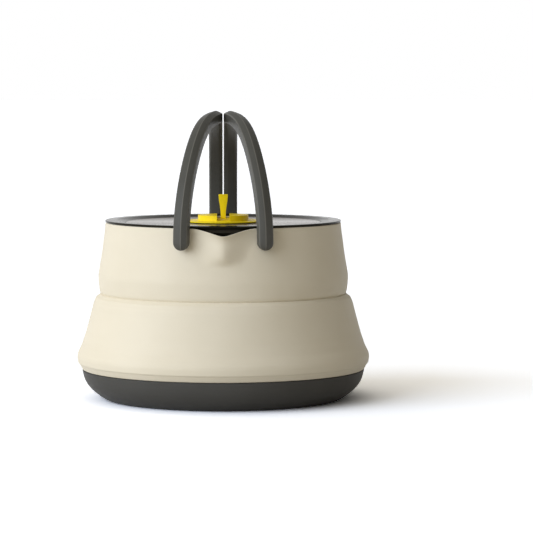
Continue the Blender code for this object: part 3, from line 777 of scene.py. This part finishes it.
def make_tab(finish):
    """The tab: a slim stem that flares to a square head, with softened edges."""
    low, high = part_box("lid_tab")
    axle = Vector(joint_named("tab_fold")["pos_m"])
    height = high.z - axle.z
    right = smooth([(high.x * across, axle.z + height * up) for up, across in TAB_SHARES])
    outline = right + [(-across, up) for across, up in reversed(right)]
    shape = bmesh.new()
    front = [shape.verts.new((across, low.y, up)) for across, up in outline]
    back = [shape.verts.new((across, high.y, up)) for across, up in outline]
    shape.faces.new(front)
    shape.faces.new(back[::-1])
    for index in range(len(outline)):
        following = (index + 1) % len(outline)
        shape.faces.new((front[index], front[following], back[following], back[index]))
    tab = add_piece("flip_tab", shape, None, finish)
    pin_low, pin_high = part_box("tab_pin")
    cut(tab, rod_cutter((pin_low.x, axle.y, axle.z), (pin_high.x, axle.y, axle.z),
                        (pin_high.z - pin_low.z) / 2 + TAB_PIN_CLEARANCE))
    bevel(tab, TAB_BEVEL)
    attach(tab, "tab")
    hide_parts("lid_tab")


def make_floor():
    """A pale floor that runs to the horizon, lifted to white where it is seen, with its shadow kept."""
    shape = bmesh.new()
    bmesh.ops.create_grid(shape, x_segments=1, y_segments=1, size=FLOOR_SIZE)
    floor = object_from("floor", shape)
    finish = bpy.data.materials.new("floor")
    finish.use_nodes = True
    tree = finish.node_tree
    tree.nodes.clear()
    out = tree.nodes.new("ShaderNodeOutputMaterial")
    matte = tree.nodes.new("ShaderNodeBsdfDiffuse")
    tree.links.new(seen_mix(tree, FLOOR_COLOUR, FLOOR_SEEN), matte.inputs["Color"])
    tree.links.new(matte.outputs[0], out.inputs["Surface"])
    floor.data.materials.append(finish)


def seen_mix(tree, unseen, seen):
    """One colour for rays that light the object, another for the camera's rays, reflections and glass."""
    path = tree.nodes.new("ShaderNodeLightPath")
    total = path.outputs["Is Camera Ray"]
    for name in ("Is Glossy Ray", "Is Transmission Ray"):
        add = tree.nodes.new("ShaderNodeMath")
        add.operation = "MAXIMUM"
        tree.links.new(total, add.inputs[0])
        tree.links.new(path.outputs[name], add.inputs[1])
        total = add.outputs[0]
    node = tree.nodes.new("ShaderNodeMix")
    node.data_type = "RGBA"
    node.clamp_result = False
    tree.links.new(total, node.inputs["Factor"])
    fill(tree, node.inputs[6], unseen)
    fill(tree, node.inputs[7], seen)
    return node.outputs[2]


def make_world():
    """A sky that lights the object, and the white room that is seen in its place."""
    world = bpy.data.worlds.new("studio")
    bpy.context.scene.world = world
    world.use_nodes = True
    tree = world.node_tree
    place = tree.nodes.new("ShaderNodeTexCoord")
    facing = tree.nodes.new("ShaderNodeVectorMath")
    facing.operation = "DOT_PRODUCT"
    facing.inputs[1].default_value = Vector(SKY_AXIS).normalized()
    tree.links.new(place.outputs["Generated"], facing.inputs[0])
    ramp = tree.nodes.new("ShaderNodeMapRange")
    ramp.interpolation_type = "SMOOTHSTEP"
    ramp.inputs["From Min"].default_value = -1
    tree.links.new(facing.outputs["Value"], ramp.inputs["Value"])
    sky = tree.nodes.new("ShaderNodeMix")
    sky.data_type = "RGBA"
    tree.links.new(ramp.outputs["Result"], sky.inputs["Factor"])
    sky.inputs[6].default_value = (*(SKY_DIM * share for share in SKY_COLOUR), 1)
    sky.inputs[7].default_value = (*(SKY_BRIGHT * share for share in SKY_COLOUR), 1)
    split = tree.nodes.new("ShaderNodeSeparateXYZ")
    tree.links.new(place.outputs["Generated"], split.inputs["Vector"])
    rise = tree.nodes.new("ShaderNodeMapRange")
    rise.interpolation_type = "SMOOTHSTEP"
    rise.inputs["From Min"].default_value = CEILING_START
    rise.inputs["From Max"].default_value = CEILING_END
    tree.links.new(split.outputs["Z"], rise.inputs["Value"])
    room = tree.nodes.new("ShaderNodeMix")
    room.data_type = "RGBA"
    tree.links.new(rise.outputs["Result"], room.inputs["Factor"])
    room.inputs[6].default_value = (1, 1, 1, 1)
    room.inputs[7].default_value = (CEILING_SEEN, CEILING_SEEN, CEILING_SEEN, 1)
    seen = seen_mix(tree, sky.outputs[2], room.outputs[2])
    tree.links.new(seen, tree.nodes["Background"].inputs["Color"])


def make_key():
    lamp = bpy.data.lights.new("key", "SUN")
    lamp.angle = math.radians(KEY_ANGLE)
    lamp.energy = KEY_STRENGTH
    lamp.color = KEY_COLOUR
    made = bpy.data.objects.new("key", lamp)
    turn = math.radians(KEY_TURN)
    rise = math.radians(KEY_RISE)
    toward = Vector((math.sin(turn) * math.cos(rise), -math.cos(turn) * math.cos(rise), math.sin(rise)))
    made.location = toward
    made.rotation_euler = (-toward).to_track_quat("-Z", "Y").to_euler()
    bpy.context.scene.collection.objects.link(made)


def make_camera():
    camera = bpy.data.cameras.new("camera")
    camera.sensor_width = SENSOR_WIDTH
    camera.lens = FOCAL_PIXELS / IMAGE_SIDE * SENSOR_WIDTH
    made = bpy.data.objects.new("camera", camera)
    made.location = CAMERA_PLACE
    made.rotation_euler = (math.pi / 2 - CAMERA_DIP, 0, CAMERA_TURN)
    bpy.context.scene.collection.objects.link(made)
    bpy.context.scene.camera = made


def dress_carried_nodes(finishes):
    """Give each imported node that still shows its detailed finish."""
    slots = {part["node"]: part["material_slot"] for part in frame["record"]["subparts"]}
    for name, node in frame["nodes"].items():
        if not node.hide_render:
            node.data.materials.clear()
            node.data.materials.append(finishes[slots[name]])


def main():
    bpy.context.scene.view_settings.view_transform = "Standard"
    finishes = {
        "silicone": silicone_finish(),
        "anodised": anodised_finish(),
        "grip": grip_finish(),
        "lid": lid_finish(),
        "window": window_finish(),
        "yellow": yellow_finish(),
        "steel": steel_finish(),
        "nylon": dark_finish("nylon", (0.036, 0.031, 0.022), (0.048, 0.041, 0.029), 0.60),
        "seal": dark_finish("seal", (0.040, 0.034, 0.024), (0.052, 0.045, 0.031), 0.65),
    }
    make_wall(finishes["silicone"])
    make_pan(finishes["anodised"])
    make_handle("left", finishes["grip"])
    make_handle("right", finishes["grip"])
    make_lid(finishes["lid"], finishes["window"])
    make_knob(finishes["yellow"])
    make_tab(finishes["yellow"])
    dress_carried_nodes(finishes)
    make_floor()
    make_world()
    make_key()
    make_camera()


main()
